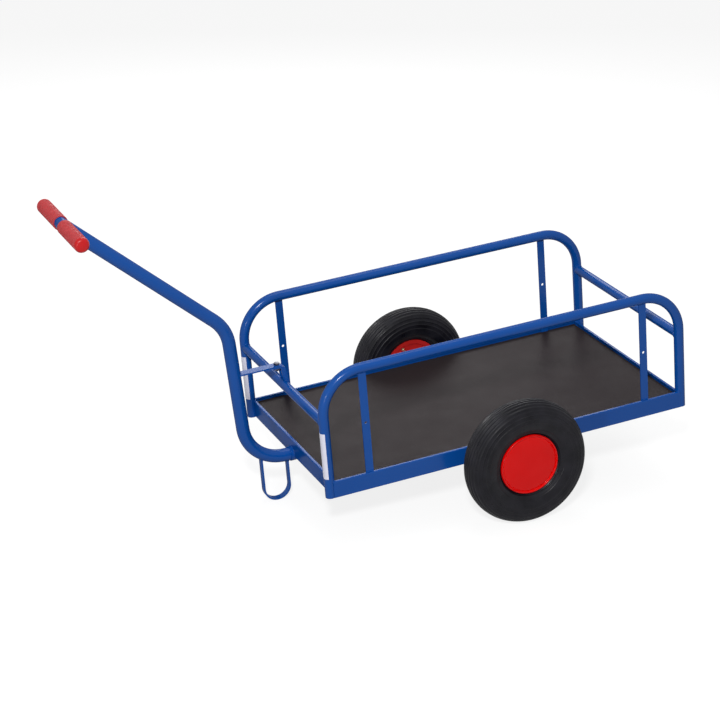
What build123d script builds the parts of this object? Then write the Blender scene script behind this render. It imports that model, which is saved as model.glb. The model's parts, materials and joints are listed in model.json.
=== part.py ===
"""Two-wheeled hand cart: railed load bed, cross axle with pneumatic wheels, bent drawbar with a T handle.

Lengths are in millimetres. Each piece is drawn in the level cart frame: origin at the middle of the
axle, +X forward to the handle, +Y to the left, +Z up. The finished pieces are then tipped nose-down
until the foot loop touches the floor, as the cart parks, with the origin at mid-length on the floor.
"""

import os
from math import asin, atan2, cos, degrees, hypot, radians, sin, sqrt, tan

from build123d import *

# Wheels
wheel_radius = 200.0
wheel_offset = 82.0
tyre_width = 106.0
tyre_shoulder_drop = 13.0
tyre_shoulder_width = 84.0
tread_groove_depth = 4.0
tread_groove_width = 4.0
tread_groove_offsets = (-18.0, -6.0, 6.0, 18.0)
rim_lip_radius = 96.0
rim_width = 62.0
rim_well_radius = 80.0
rim_well_width = 26.0
rim_sheet = 3.0
rim_ring_radius = 82.0
rim_dish = 6.0
bead_seat_radius = 90.0
bead_seat_width = 48.0
bead_gap = 0.3
cover_radius = 98.0
cover_sheet = 2.0
cover_lip_width = 8.0
cover_lip_height = 5.0
cover_lip_slope = 2.0
cover_groove_width = 4.0
cover_dome = 4.0
hub_radius = 20.0
hub_inboard = 62.0
hub_outboard = 12.0
hub_flange_radius = 40.0
hub_flange_thickness = 6.0

# Axle
axle_tube_diameter = 48.0
axle_tube_wall = 3.0
axle_tube_overhang = 6.0
axle_diameter = 20.0
axle_running_gap = 0.05
axle_end_gap = 0.3
axle_plug_length = 45.0
axle_collar_radius = 15.0
axle_washer_radius = 18.0
axle_washer_thickness = 3.0
axle_nut_across_flats = 30.0
axle_nut_height = 9.0

# Load bed
bed_length = 1206.0
bed_width = 712.0
member_height = 54.0
member_wall = 4.0
member_lip_width = 9.0
member_edge_round = 3.0
member_above_panel = 11.0
ledge_width = 30.0
ledge_thickness = 4.0
panel_thickness = 15.0
panel_edge_gap = 1.0
bearer_size = 30.0
bearer_wall = 2.5
bearer_x = 330.0

# Rails
rail_diameter = 32.0
rail_wall = 2.0
post_offset_x = 7.0
rail_height = 393.0
rail_bend_radius = 130.0
cross_rail_diameter = 30.0
cross_rail_height = 244.0
stay_width = 25.0
stay_thickness = 4.0
stay_inset_x = 132.0
stay_hole_diameter = 9.0
stay_hole_height = 214.0

# Drawbar, its socket and its handle
drawbar_diameter = 42.0
drawbar_wall = 2.5
drawbar_insertion = 80.0
drawbar_bend_radius = 130.0
drawbar_knee_reach = 147.0
drawbar_shoulder_reach = 170.0
drawbar_shoulder_height = 467.0
handle_reach = 632.0
handle_height = 904.5
socket_gap = 0.3
socket_wall = 2.5
socket_overhang = 9.0
handle_diameter = 38.0
handle_length = 396.0
handle_wall = 2.5
grip_diameter = 46.0
grip_bore_gap = 0.2
grip_drawbar_gap = 0.5
grip_end_wall = 10.0
grip_end_round = 12.0

# Foot loop, strut and bracket
foot_bar_width = 20.0
foot_bar_thickness = 6.0
foot_socket_gap = 7.0
foot_outer_width = 92.0
foot_reach = 144.5
strut_width = 30.0
strut_thickness = 5.0
strut_height = 309.0
strut_tail = 12.0
bracket_wall = 4.0
bracket_depth = 16.0
bracket_foot_offset = -18.0
bracket_top_offset = -9.0
bracket_bolt_reach = 23.0
bracket_tongue = 14.0
bracket_bend_radius = 12.0
bolt_diameter = 10.0
bolt_hole_gap = 0.5
bolt_head_across_flats = 17.0
bolt_head_height = 6.5
bolt_nut_height = 8.0
bolt_end = 4.0

# Gap left at welded joints between round and flat pieces
weld_gap = 0.2

# Heights above the axle centre, from the tubes that carry the panel upwards
axle_tube_radius = axle_tube_diameter / 2
drawbar_radius = drawbar_diameter / 2
socket_radius = drawbar_radius + socket_gap + socket_wall
panel_bottom = max(axle_tube_radius, socket_radius) + weld_gap
panel_top = panel_bottom + panel_thickness
frame_top = panel_top + member_above_panel
frame_bottom = frame_top - member_height

# Plan positions: posts flush with the outer face of the side members, stays inside their lips
bed_front = bed_length / 2
bed_side = bed_width / 2
rail_radius = rail_diameter / 2
post_x = bed_front + post_offset_x
post_y = bed_side - rail_radius
stay_x = post_x - stay_inset_x
stay_y = bed_side - member_lip_width - stay_thickness / 2
cross_rail_radius = cross_rail_diameter / 2
wheel_y = bed_side + wheel_offset
tyre_shoulder_radius = wheel_radius - tyre_shoulder_drop
tyre_flank_radius = (rim_lip_radius + wheel_radius) / 2
axle_tube_end = bed_side + axle_tube_overhang
hub_inner_y = wheel_y - hub_inboard
hub_outer_y = wheel_y + hub_outboard
post_centres = [(x, y) for x in (post_x, -post_x) for y in (post_y, -post_y)]
stay_centres = [(x, y) for x in (stay_x, -stay_x) for y in (stay_y, -stay_y)]

# Drawbar line in the middle plane, as (x, z) corners
socket_front = bed_front + socket_overhang
drawbar_knee_x = bed_front + drawbar_knee_reach
drawbar_shoulder_x = bed_front + drawbar_shoulder_reach
handle_x = bed_front + handle_reach
grip_inner_y = drawbar_radius + grip_drawbar_gap
drawbar_corners = [
    (socket_front - drawbar_insertion, 0.0),
    (drawbar_knee_x, 0.0),
    (drawbar_shoulder_x, drawbar_shoulder_height),
    (handle_x, handle_height),
]
riser_lean = (drawbar_shoulder_x - drawbar_knee_x) / drawbar_shoulder_height
knee_turn = atan2(1, riser_lean)
knee_start_x = drawbar_knee_x - drawbar_bend_radius * tan(knee_turn / 2)
strut_front_x = drawbar_knee_x + riser_lean * strut_height

# Parking pitch: the nose drops until the foot loop is level with the bottom of the tyres
foot_outer_radius = foot_outer_width / 2
foot_x = socket_front + foot_socket_gap + foot_outer_radius
foot_centre_drop = foot_reach - foot_outer_radius
foot_arm = hypot(foot_x, foot_centre_drop)
park_pitch = degrees(asin((wheel_radius - foot_outer_radius) / foot_arm) - atan2(foot_centre_drop, foot_x))
pitch_cos = cos(radians(park_pitch))
pitch_sin = sin(radians(park_pitch))
front_reach = handle_x * pitch_cos + handle_height * pitch_sin + grip_diameter / 2
rear_reach = -(post_x + rail_radius) * pitch_cos + frame_bottom * pitch_sin
floor_shift = Vector(-(front_reach + rear_reach) / 2, 0, wheel_radius)

os.makedirs("parts", exist_ok=True)


def park(piece, label):
    """Tip a finished piece into the parked stance and write it under its own name."""
    parked = piece.part.rotate(Axis.Y, park_pitch).translate(floor_shift)
    parked.label = label
    export_step(parked, f"parts/{label}.step")


def tread_radius(offset):
    """Radius of the crowned tread at an offset from the tyre's mid-plane."""
    rise = wheel_radius - tyre_shoulder_radius
    half = tyre_shoulder_width / 2
    crown = (half**2 + rise**2) / (2 * rise)
    return wheel_radius - crown + sqrt(crown**2 - offset**2)


def drawbar_axis_height(x):
    """Height of the drawbar's centre line at x, along the lower run and round the knee."""
    run = max(x - knee_start_x, 0.0)
    return drawbar_bend_radius - sqrt(drawbar_bend_radius**2 - run**2)


# Side rails: one bent tube each, both legs running down to the bottom edge of the bed frame
rail_lines = {}
for side, label in ((1, "side_rail_left"), (-1, "side_rail_right")):
    with BuildPart() as side_rail:
        with BuildLine(Plane.XZ.offset(-side * post_y)) as rail_line:
            FilletPolyline(
                (post_x, frame_bottom),
                (post_x, rail_height),
                (-post_x, rail_height),
                (-post_x, frame_bottom),
                radius=rail_bend_radius,
            )
        with BuildSketch(Plane.XY.move(Location((post_x, side * post_y, frame_bottom)))):
            Circle(rail_radius)
            Circle(rail_radius - rail_wall, mode=Mode.SUBTRACT)
        sweep(path=rail_line.line)
    rail_lines[side] = rail_line.line
    park(side_rail, label)

# Cross rails between the posts, ends saddled to the post tubes
for end, label in ((1, "front_cross_rail"), (-1, "rear_cross_rail")):
    with BuildPart() as cross_rail:
        with BuildSketch(Plane.XZ):
            with Locations((end * post_x, cross_rail_height)):
                Circle(cross_rail_radius)
                Circle(cross_rail_radius - rail_wall, mode=Mode.SUBTRACT)
        extrude(amount=post_y, both=True)
        with BuildSketch(Plane.XY.offset(cross_rail_height)):
            with Locations(*post_centres):
                Circle(rail_radius + weld_gap)
        extrude(amount=rail_diameter, both=True, mode=Mode.SUBTRACT)
    park(cross_rail, label)

# Flat stays from the ledge of the bed frame up to the side rails, each with one through hole
for side, side_name in ((1, "left"), (-1, "right")):
    for end, end_name in ((1, "front"), (-1, "rear")):
        with BuildPart() as stay:
            with BuildSketch(Plane.XZ.offset(-side * stay_y)):
                with Locations((end * stay_x, panel_bottom + weld_gap)):
                    Rectangle(
                        stay_width,
                        rail_height - panel_bottom - weld_gap,
                        align=(Align.CENTER, Align.MIN),
                    )
                with Locations((end * stay_x, stay_hole_height)):
                    Circle(stay_hole_diameter / 2, mode=Mode.SUBTRACT)
            extrude(amount=stay_thickness / 2, both=True)
            with BuildSketch(Plane.XY.move(Location((post_x, side * post_y, frame_bottom)))):
                Circle(rail_radius + weld_gap)
            sweep(path=rail_lines[side], mode=Mode.SUBTRACT)
        park(stay, f"stay_{side_name}_{end_name}")

# Side members: an upright web with a lip folded in at the top and an inner ledge for the panel,
# arched over the axle tube
for side, label in ((1, "left_member"), (-1, "right_member")):
    with BuildPart() as side_member:
        with Locations((0, side * (bed_side - member_wall / 2), frame_bottom)):
            Box(bed_length, member_wall, member_height, align=(Align.CENTER, Align.CENTER, Align.MIN))
        with Locations((0, side * (bed_side - member_lip_width / 2), frame_top)):
            Box(bed_length, member_lip_width, member_wall, align=(Align.CENTER, Align.CENTER, Align.MAX))
        top_edges = side_member.edges().filter_by(Axis.X).group_by(Axis.Z)[-1]
        fillet(top_edges.sort_by(Axis.Y)[-1 if side > 0 else 0], member_edge_round)
        with Locations((0, side * (bed_side - member_wall - ledge_width / 2), panel_bottom)):
            Box(
                bed_length - 2 * (member_wall + weld_gap),
                ledge_width,
                ledge_thickness,
                align=(Align.CENTER, Align.CENTER, Align.MAX),
            )
        with BuildSketch(Plane.XY.offset(frame_bottom)):
            with Locations(*post_centres):
                Circle(rail_radius + weld_gap)
        extrude(amount=member_height, mode=Mode.SUBTRACT)
        with BuildSketch(Plane.XZ):
            Circle(axle_tube_radius + weld_gap)
        extrude(amount=bed_width, both=True, mode=Mode.SUBTRACT)
        with BuildSketch(Plane.XY.offset(panel_bottom)):
            for x in (bearer_x, -bearer_x):
                with Locations((x, side * (bed_side - member_wall - ledge_width / 2))):
                    Rectangle(bearer_size + 2 * weld_gap, ledge_width)
        extrude(amount=-ledge_thickness, mode=Mode.SUBTRACT)
    park(side_member, label)

# End members: the same section between the side members, the front one arched over the socket
for end, label in ((1, "front_member"), (-1, "rear_member")):
    with BuildPart() as end_member:
        with Locations((end * (bed_front - member_wall / 2), 0, frame_bottom)):
            Box(member_wall, 2 * post_y, member_height, align=(Align.CENTER, Align.CENTER, Align.MIN))
        with Locations((end * (bed_front - member_lip_width / 2), 0, frame_top)):
            Box(member_lip_width, 2 * post_y, member_wall, align=(Align.CENTER, Align.CENTER, Align.MAX))
        top_edges = end_member.edges().filter_by(Axis.Y).group_by(Axis.Z)[-1]
        fillet(top_edges.sort_by(Axis.X)[-1 if end > 0 else 0], member_edge_round)
        with Locations((end * (bed_front - member_wall - ledge_width / 2), 0, panel_bottom)):
            Box(
                ledge_width,
                bed_width - 2 * (member_wall + ledge_width + weld_gap),
                ledge_thickness,
                align=(Align.CENTER, Align.CENTER, Align.MAX),
            )
        with BuildSketch(Plane.XY.offset(frame_bottom)):
            with Locations(*post_centres):
                Circle(rail_radius + weld_gap)
        extrude(amount=member_height, mode=Mode.SUBTRACT)
        if end > 0:
            with BuildSketch(Plane.YZ):
                Circle(socket_radius + weld_gap)
            extrude(amount=bed_length, mode=Mode.SUBTRACT)
    park(end_member, label)

# Load panel, lying on the ledges between the members' lips and notched round the stays
with BuildPart() as load_panel:
    with BuildSketch(Plane.XY.offset(panel_bottom)):
        Rectangle(
            bed_length - 2 * (member_lip_width + panel_edge_gap),
            bed_width - 2 * (member_lip_width + panel_edge_gap),
        )
        with Locations(*stay_centres):
            Rectangle(stay_width + 2 * panel_edge_gap, stay_thickness + 2 * panel_edge_gap, mode=Mode.SUBTRACT)
    extrude(amount=panel_thickness)
park(load_panel, "load_panel")

# Cross bearers under the panel: square tubes, the front pair butting on the socket tube
bearer_end = bed_side - member_wall - weld_gap
for x, near_y, far_y, label in (
    (bearer_x, socket_radius, bearer_end, "bearer_front_left"),
    (bearer_x, -bearer_end, -socket_radius, "bearer_front_right"),
    (-bearer_x, -bearer_end, bearer_end, "bearer_rear"),
):
    with BuildPart() as bearer:
        with BuildSketch(Plane.XZ.offset(-near_y)):
            with Locations((x, panel_bottom - bearer_size / 2)):
                Rectangle(bearer_size, bearer_size)
                Rectangle(bearer_size - 2 * bearer_wall, bearer_size - 2 * bearer_wall, mode=Mode.SUBTRACT)
        extrude(amount=near_y - far_y)
        with BuildSketch(Plane.YZ):
            Circle(socket_radius + weld_gap)
        extrude(amount=bed_length, mode=Mode.SUBTRACT)
    park(bearer, label)

# Axle tube, welded across the side members
with BuildPart() as axle_tube:
    with BuildSketch(Plane.XZ):
        Circle(axle_tube_radius)
        Circle(axle_tube_radius - axle_tube_wall, mode=Mode.SUBTRACT)
    extrude(amount=axle_tube_end, both=True)
park(axle_tube, "axle_tube")

# Socket tube for the drawbar, from in front of the front member back to the axle tube
with BuildPart() as socket_tube:
    with BuildSketch(Plane.YZ):
        Circle(socket_radius)
        Circle(socket_radius - socket_wall, mode=Mode.SUBTRACT)
    extrude(amount=socket_front)
    with BuildSketch(Plane.XZ):
        Circle(axle_tube_radius + weld_gap)
    extrude(amount=bed_width, both=True, mode=Mode.SUBTRACT)
park(socket_tube, "socket_tube")

# Axle ends: a plug in the axle tube, a collar that stops the hub, and the journal
axle_plug_radius = axle_tube_radius - axle_tube_wall - weld_gap
axle_nut_inner_y = hub_outer_y + axle_end_gap + axle_washer_thickness
axle_tip_y = axle_nut_inner_y + axle_nut_height
for side, side_name in ((1, "left"), (-1, "right")):
    with BuildPart() as axle_end:
        with BuildSketch(Plane.XY):
            with BuildLine():
                Polyline(
                    (0, side * (axle_tube_end - axle_plug_length)),
                    (axle_plug_radius, side * (axle_tube_end - axle_plug_length)),
                    (axle_plug_radius, side * axle_tube_end),
                    (axle_collar_radius, side * axle_tube_end),
                    (axle_collar_radius, side * (hub_inner_y - axle_end_gap)),
                    (axle_diameter / 2, side * (hub_inner_y - axle_end_gap)),
                    (axle_diameter / 2, side * axle_tip_y),
                    (0, side * axle_tip_y),
                    close=True,
                )
            make_face()
        revolve(axis=Axis.Y)
    park(axle_end, f"axle_end_{side_name}")

    with BuildPart() as axle_nut:
        with BuildSketch(Plane.XZ.offset(-side * (hub_outer_y + axle_end_gap))):
            Circle(axle_washer_radius)
            Circle(axle_diameter / 2 + weld_gap, mode=Mode.SUBTRACT)
        extrude(amount=-side * axle_washer_thickness)
        with BuildSketch(Plane.XZ.offset(-side * axle_nut_inner_y)):
            RegularPolygon(axle_nut_across_flats / 2, 6, major_radius=False)
            Circle(axle_diameter / 2 + weld_gap, mode=Mode.SUBTRACT)
        extrude(amount=-side * axle_nut_height)
    park(axle_nut, f"axle_nut_{side_name}")

# Wheels: ribbed tyre, moulded rim, bearing hub and outer cover, drawn as sections (radius, distance out)
for side, side_name in ((1, "left"), (-1, "right")):
    middle = side * wheel_y
    half_tread = tyre_shoulder_width / 2
    half_seat = bead_seat_width / 2
    half_rim = rim_width / 2
    half_well = rim_well_width / 2
    disc_inner = middle - side * (half_rim - rim_dish)
    disc_outer = disc_inner + side * rim_sheet

    with BuildPart() as tyre:
        with BuildSketch(Plane.XY):
            bead_foot = bead_seat_radius + bead_gap
            bead_top = (rim_lip_radius + bead_gap, half_rim - rim_sheet)
            with BuildLine():
                Line((bead_foot, middle - half_seat), (bead_foot, middle + half_seat))
                Line((bead_foot, middle + half_seat), (bead_top[0], middle + bead_top[1]))
                ThreePointArc(
                    (bead_top[0], middle + bead_top[1]),
                    (tyre_flank_radius, middle + tyre_width / 2),
                    (tyre_shoulder_radius, middle + half_tread),
                )
                ThreePointArc(
                    (tyre_shoulder_radius, middle + half_tread),
                    (wheel_radius, middle),
                    (tyre_shoulder_radius, middle - half_tread),
                )
                ThreePointArc(
                    (tyre_shoulder_radius, middle - half_tread),
                    (tyre_flank_radius, middle - tyre_width / 2),
                    (bead_top[0], middle - bead_top[1]),
                )
                Line((bead_top[0], middle - bead_top[1]), (bead_foot, middle - half_seat))
            make_face()
            for groove_offset in tread_groove_offsets:
                with Locations((tread_radius(groove_offset), middle + groove_offset)):
                    Rectangle(2 * tread_groove_depth, tread_groove_width, mode=Mode.SUBTRACT)
        revolve(axis=Axis.Y)
    park(tyre, f"tyre_{side_name}")

    with BuildPart() as rim:
        with BuildSketch(Plane.XY):
            with BuildLine():
                Polyline(
                    (rim_lip_radius, middle - side * half_rim),
                    (rim_lip_radius, middle - side * (half_rim - rim_sheet)),
                    (bead_seat_radius, middle - side * half_seat),
                    (rim_well_radius, middle - side * half_well),
                    (rim_well_radius, middle + side * half_well),
                    (bead_seat_radius, middle + side * half_seat),
                    (rim_lip_radius, middle + side * (half_rim - rim_sheet)),
                    (rim_lip_radius, middle + side * half_rim),
                    (rim_lip_radius - rim_sheet, middle + side * half_rim),
                    (bead_seat_radius - 2 * rim_sheet, middle + side * half_seat),
                    (rim_well_radius - rim_sheet, middle + side * half_well),
                    (rim_well_radius - rim_sheet, disc_outer),
                    (hub_radius + weld_gap, disc_outer),
                    (hub_radius + weld_gap, disc_inner),
                    (rim_ring_radius, disc_inner),
                    (rim_ring_radius, middle - side * half_rim),
                    close=True,
                )
            make_face()
        revolve(axis=Axis.Y)
    park(rim, f"rim_{side_name}")

    with BuildPart() as hub:
        with BuildSketch(Plane.XY):
            bore_radius = axle_diameter / 2 + axle_running_gap
            with BuildLine():
                Polyline(
                    (bore_radius, side * hub_inner_y),
                    (hub_radius, side * hub_inner_y),
                    (hub_radius, disc_outer),
                    (hub_flange_radius, disc_outer),
                    (hub_flange_radius, disc_outer + side * hub_flange_thickness),
                    (hub_radius, disc_outer + side * hub_flange_thickness),
                    (hub_radius, side * hub_outer_y),
                    (bore_radius, side * hub_outer_y),
                    close=True,
                )
            make_face()
        revolve(axis=Axis.Y)
    park(hub, f"hub_{side_name}")

    with BuildPart() as cover:
        with BuildSketch(Plane.XY):
            cover_seat = middle + side * half_rim
            cover_face = cover_seat + side * cover_sheet
            lip_crest = cover_face + side * cover_lip_height
            lip_inner = cover_radius - cover_lip_width
            face_edge = lip_inner - cover_groove_width
            with BuildLine():
                Polyline(
                    (0, cover_seat),
                    (cover_radius, cover_seat),
                    (cover_radius, cover_face),
                    (cover_radius - cover_lip_slope, lip_crest),
                    (lip_inner + cover_lip_slope, lip_crest),
                    (lip_inner, cover_face),
                    (face_edge, cover_face + side * cover_dome / 2),
                    (0, cover_face + side * cover_dome),
                    close=True,
                )
            make_face()
        revolve(axis=Axis.Y)
    park(cover, f"wheel_cover_{side_name}")

# Drawbar: one tube, out of the socket, up and then forward to the handle
with BuildPart() as drawbar:
    with BuildLine(Plane.XZ) as drawbar_line:
        FilletPolyline(*drawbar_corners, radius=drawbar_bend_radius)
    with BuildSketch(Plane.YZ.offset(drawbar_corners[0][0])):
        Circle(drawbar_radius)
        Circle(drawbar_radius - drawbar_wall, mode=Mode.SUBTRACT)
    sweep(path=drawbar_line.line)
    with BuildSketch(Plane.XZ):
        with Locations((handle_x, handle_height)):
            Circle(handle_diameter / 2 + weld_gap)
    extrude(amount=handle_length, both=True, mode=Mode.SUBTRACT)
park(drawbar, "drawbar")

# Handle tube across the end of the drawbar, with a grip on each half
with BuildPart() as handle_tube:
    with BuildSketch(Plane.XZ):
        with Locations((handle_x, handle_height)):
            Circle(handle_diameter / 2)
            Circle(handle_diameter / 2 - handle_wall, mode=Mode.SUBTRACT)
    extrude(amount=handle_length / 2, both=True)
park(handle_tube, "handle_tube")

grip_axis = Axis((handle_x, 0, handle_height), (0, 1, 0))
grip_tip_y = handle_length / 2 + grip_bore_gap + grip_end_wall
for side, side_name in ((1, "left"), (-1, "right")):
    with BuildPart() as grip:
        with BuildSketch(Plane.XY.offset(handle_height)):
            bore = handle_x + handle_diameter / 2 + grip_bore_gap
            skin = handle_x + grip_diameter / 2
            round_sag = grip_end_round * (1 - sqrt(0.5))
            with BuildLine():
                Polyline(
                    (bore, side * grip_inner_y),
                    (skin, side * grip_inner_y),
                    (skin, side * (grip_tip_y - grip_end_round)),
                )
                ThreePointArc(
                    (skin, side * (grip_tip_y - grip_end_round)),
                    (skin - round_sag, side * (grip_tip_y - round_sag)),
                    (skin - grip_end_round, side * grip_tip_y),
                )
                Polyline(
                    (skin - grip_end_round, side * grip_tip_y),
                    (handle_x, side * grip_tip_y),
                    (handle_x, side * (handle_length / 2 + grip_bore_gap)),
                    (bore, side * (handle_length / 2 + grip_bore_gap)),
                    (bore, side * grip_inner_y),
                )
            make_face()
        revolve(axis=grip_axis)
    park(grip, f"grip_{side_name}")

# Foot loop: flat bar bent to a U under the drawbar
with BuildPart() as foot_loop:
    with BuildSketch(Plane.XZ):
        with Locations((foot_x, -foot_centre_drop)):
            Circle(foot_outer_radius)
            Circle(foot_outer_radius - foot_bar_thickness, mode=Mode.SUBTRACT)
            Rectangle(
                foot_outer_width,
                foot_outer_radius,
                align=(Align.CENTER, Align.MIN),
                mode=Mode.SUBTRACT,
            )
        for leg in (1, -1):
            leg_x = foot_x + leg * (foot_outer_radius - foot_bar_thickness / 2)
            with Locations((leg_x, -foot_centre_drop)):
                Rectangle(
                    foot_bar_thickness,
                    foot_centre_drop + drawbar_axis_height(leg_x),
                    align=(Align.CENTER, Align.MIN),
                )
    extrude(amount=foot_bar_width / 2, both=True)
    with BuildSketch(Plane.YZ.offset(drawbar_corners[0][0])):
        Circle(drawbar_radius + weld_gap)
    sweep(path=drawbar_line.line, mode=Mode.SUBTRACT)
park(foot_loop, "foot_loop")

# Strut: flat bar from the drawbar's riser back over the bracket
strut_bottom = strut_height - strut_thickness / 2
bracket_foot_x = post_x + bracket_foot_offset
bracket_top_x = post_x + bracket_top_offset
bracket_bolt_x = bracket_top_x + bracket_bolt_reach
strut_rear_x = bracket_bolt_x - strut_tail
with BuildPart() as strut:
    with BuildSketch(Plane.XY.offset(strut_bottom)):
        with Locations((strut_rear_x, 0)):
            Rectangle(strut_front_x - strut_rear_x, strut_width, align=(Align.MIN, Align.CENTER))
        with Locations((bracket_bolt_x, 0)):
            Circle(bolt_diameter / 2 + bolt_hole_gap, mode=Mode.SUBTRACT)
    extrude(amount=strut_thickness)
    with BuildSketch(Plane((strut_front_x, 0, strut_height), x_dir=(0, 1, 0), z_dir=(riser_lean, 0, 1))):
        Circle(drawbar_radius + weld_gap)
    extrude(amount=strut_width, both=True, mode=Mode.SUBTRACT)
park(strut, "strut")

# Bracket: a leaning channel on the front cross rail, open to the front, with a tongue under the strut
bracket_top = strut_bottom
tongue_bottom = bracket_top - bracket_wall
tongue_tip_x = bracket_bolt_x + bracket_tongue
with BuildPart() as bracket:
    with BuildSketch(Plane.XZ):
        with BuildLine():
            Polyline(
                (tongue_tip_x, bracket_top),
                (tongue_tip_x, tongue_bottom),
                (bracket_top_x + bracket_depth, tongue_bottom),
                (bracket_foot_x + bracket_depth, cross_rail_height),
                (bracket_foot_x, cross_rail_height),
            )
            FilletPolyline(
                (bracket_foot_x, cross_rail_height),
                (bracket_top_x, bracket_top),
                (tongue_tip_x, bracket_top),
                radius=bracket_bend_radius,
            )
        make_face()
    extrude(amount=strut_width / 2, both=True)
    with BuildSketch(Plane.XZ):
        with BuildLine():
            Polyline(
                (bracket_foot_x + bracket_wall, cross_rail_height),
                (bracket_top_x + bracket_wall, tongue_bottom),
                (tongue_tip_x, tongue_bottom),
                (tongue_tip_x, cross_rail_height),
                close=True,
            )
        make_face()
    extrude(amount=strut_width / 2 - bracket_wall, both=True, mode=Mode.SUBTRACT)
    with BuildSketch(Plane.XZ):
        with Locations((post_x, cross_rail_height)):
            Circle(cross_rail_radius + weld_gap)
    extrude(amount=strut_width, both=True, mode=Mode.SUBTRACT)
    with BuildSketch(Plane.XY.offset(bracket_top)):
        with Locations((bracket_bolt_x, 0)):
            Circle(bolt_diameter / 2 + bolt_hole_gap)
    extrude(amount=-2 * bracket_wall, mode=Mode.SUBTRACT)
park(bracket, "strut_bracket")

# Bolt through strut and bracket, head on top and nut below
with BuildPart() as strut_bolt:
    nut_top = tongue_bottom
    with BuildSketch(Plane.XY.offset(strut_bottom + strut_thickness)):
        with Locations((bracket_bolt_x, 0)):
            RegularPolygon(bolt_head_across_flats / 2, 6, major_radius=False)
    extrude(amount=bolt_head_height)
    with BuildSketch(Plane.XY.offset(strut_bottom + strut_thickness)):
        with Locations((bracket_bolt_x, 0)):
            Circle(bolt_diameter / 2)
    extrude(amount=-(strut_thickness + bracket_wall + bolt_nut_height + bolt_end))
    with BuildSketch(Plane.XY.offset(nut_top)):
        with Locations((bracket_bolt_x, 0)):
            RegularPolygon(bolt_head_across_flats / 2, 6, major_radius=False)
    extrude(amount=-bolt_nut_height)
park(strut_bolt, "strut_bolt")
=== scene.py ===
"""Looks of the two-wheeled hand cart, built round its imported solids.

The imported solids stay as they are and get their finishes. The tyres, the wheel covers, the grips and
the strut bolt are replaced by finer meshes of the same form. Weld beads, pale strips on the front posts and
tyre valves are added. Pieces are drawn in millimetres in the level cart frame: origin at the middle of the
axle, +X forward to the handle, +Y to the left, +Z up. One matrix then puts them in the parked stance, in
metres.
"""

import json
from math import asin, atan2, ceil, cos, hypot, pi, radians, sin, sqrt, tan

import bmesh
import bpy
from mathutils import Matrix, Vector


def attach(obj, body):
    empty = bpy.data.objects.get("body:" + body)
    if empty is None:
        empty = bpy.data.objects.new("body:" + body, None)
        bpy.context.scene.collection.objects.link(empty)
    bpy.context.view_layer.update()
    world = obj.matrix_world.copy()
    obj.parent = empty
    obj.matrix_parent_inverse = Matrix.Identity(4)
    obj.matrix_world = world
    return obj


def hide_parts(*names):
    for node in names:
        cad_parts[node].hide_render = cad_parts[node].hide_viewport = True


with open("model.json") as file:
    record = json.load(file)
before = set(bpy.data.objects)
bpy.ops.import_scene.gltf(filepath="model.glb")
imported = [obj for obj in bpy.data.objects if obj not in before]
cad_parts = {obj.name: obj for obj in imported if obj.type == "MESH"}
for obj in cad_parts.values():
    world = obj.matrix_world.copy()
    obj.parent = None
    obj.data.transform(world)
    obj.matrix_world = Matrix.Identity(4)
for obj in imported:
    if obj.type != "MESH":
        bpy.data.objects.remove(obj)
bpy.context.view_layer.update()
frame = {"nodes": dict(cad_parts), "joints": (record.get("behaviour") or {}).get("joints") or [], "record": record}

MM = 0.001
SIDES = (("left", 1), ("right", -1))
ENDS = (("front", 1), ("rear", -1))

# Parked stance, from the wheel pins and from the normal of the load face
pins = {joint["child"]: Vector(joint["pos_m"]) for joint in frame["joints"]}
axle_middle = (pins["wheel_left"] + pins["wheel_right"]) / 2
load_up = next(Vector(m["axis"]) for m in frame["record"]["mounts"] if m["name"] == "load_face")
stance = (
    Matrix.Translation(axle_middle)
    @ Matrix.Rotation(atan2(load_up.x, load_up.z), 4, "Y")
    @ Matrix.Scale(MM, 4)
)
to_level = stance.inverted()


def level_box(node):
    """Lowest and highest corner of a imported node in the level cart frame, in millimetres."""
    points = [to_level @ vertex.co for vertex in frame["nodes"][node].data.vertices]
    low = Vector([min(axis) for axis in zip(*points)])
    high = Vector([max(axis) for axis in zip(*points)])
    return low, high


def level_middle(node):
    """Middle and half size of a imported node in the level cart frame, in millimetres."""
    low, high = level_box(node)
    return (low + high) / 2, (high - low) / 2


# Mesh helpers

SHARP_ANGLE = radians(38)


def grid(bm, rows, closed=False, finish_of_row=None):
    """Join rows of vertices, each a closed ring or one pole vertex, with smooth faces."""
    pairs = list(zip(rows, rows[1:]))
    if closed:
        pairs.append((rows[-1], rows[0]))
    for number, (first, second) in enumerate(pairs):
        count = max(len(first), len(second))
        for j in range(count):
            k = (j + 1) % count
            corners = [first[j], first[k]] if len(first) > 1 else list(first)
            corners += [second[k], second[j]] if len(second) > 1 else list(second)
            face = bm.faces.new(corners)
            face.smooth = True
            if finish_of_row:
                face.material_index = finish_of_row(number)


def ring(bm, place, radius, height, segments):
    """One turn of vertices about the local Z axis of a placing matrix, or a pole vertex on it."""
    if radius == 0:
        return [bm.verts.new(place @ Vector((0, 0, height)))]
    turns = [2 * pi * n / segments for n in range(segments)]
    return [bm.verts.new(place @ Vector((radius * cos(t), radius * sin(t), height))) for t in turns]


def outward(point, sign=1):
    """Placing matrix at a point, with its local Z axis to the left, or to the right where the sign is -1."""
    return Matrix.Translation(point) @ Matrix.Rotation(-sign * pi / 2, 4, "X")


def lathe(bm, profile, place, segments, closed=False, finish_of_row=None):
    """Turn a profile of (radius, height) points about the local Z axis of a placing matrix."""
    rows = [ring(bm, place, radius, height, segments) for radius, height in profile]
    grid(bm, rows, closed, finish_of_row)


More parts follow.
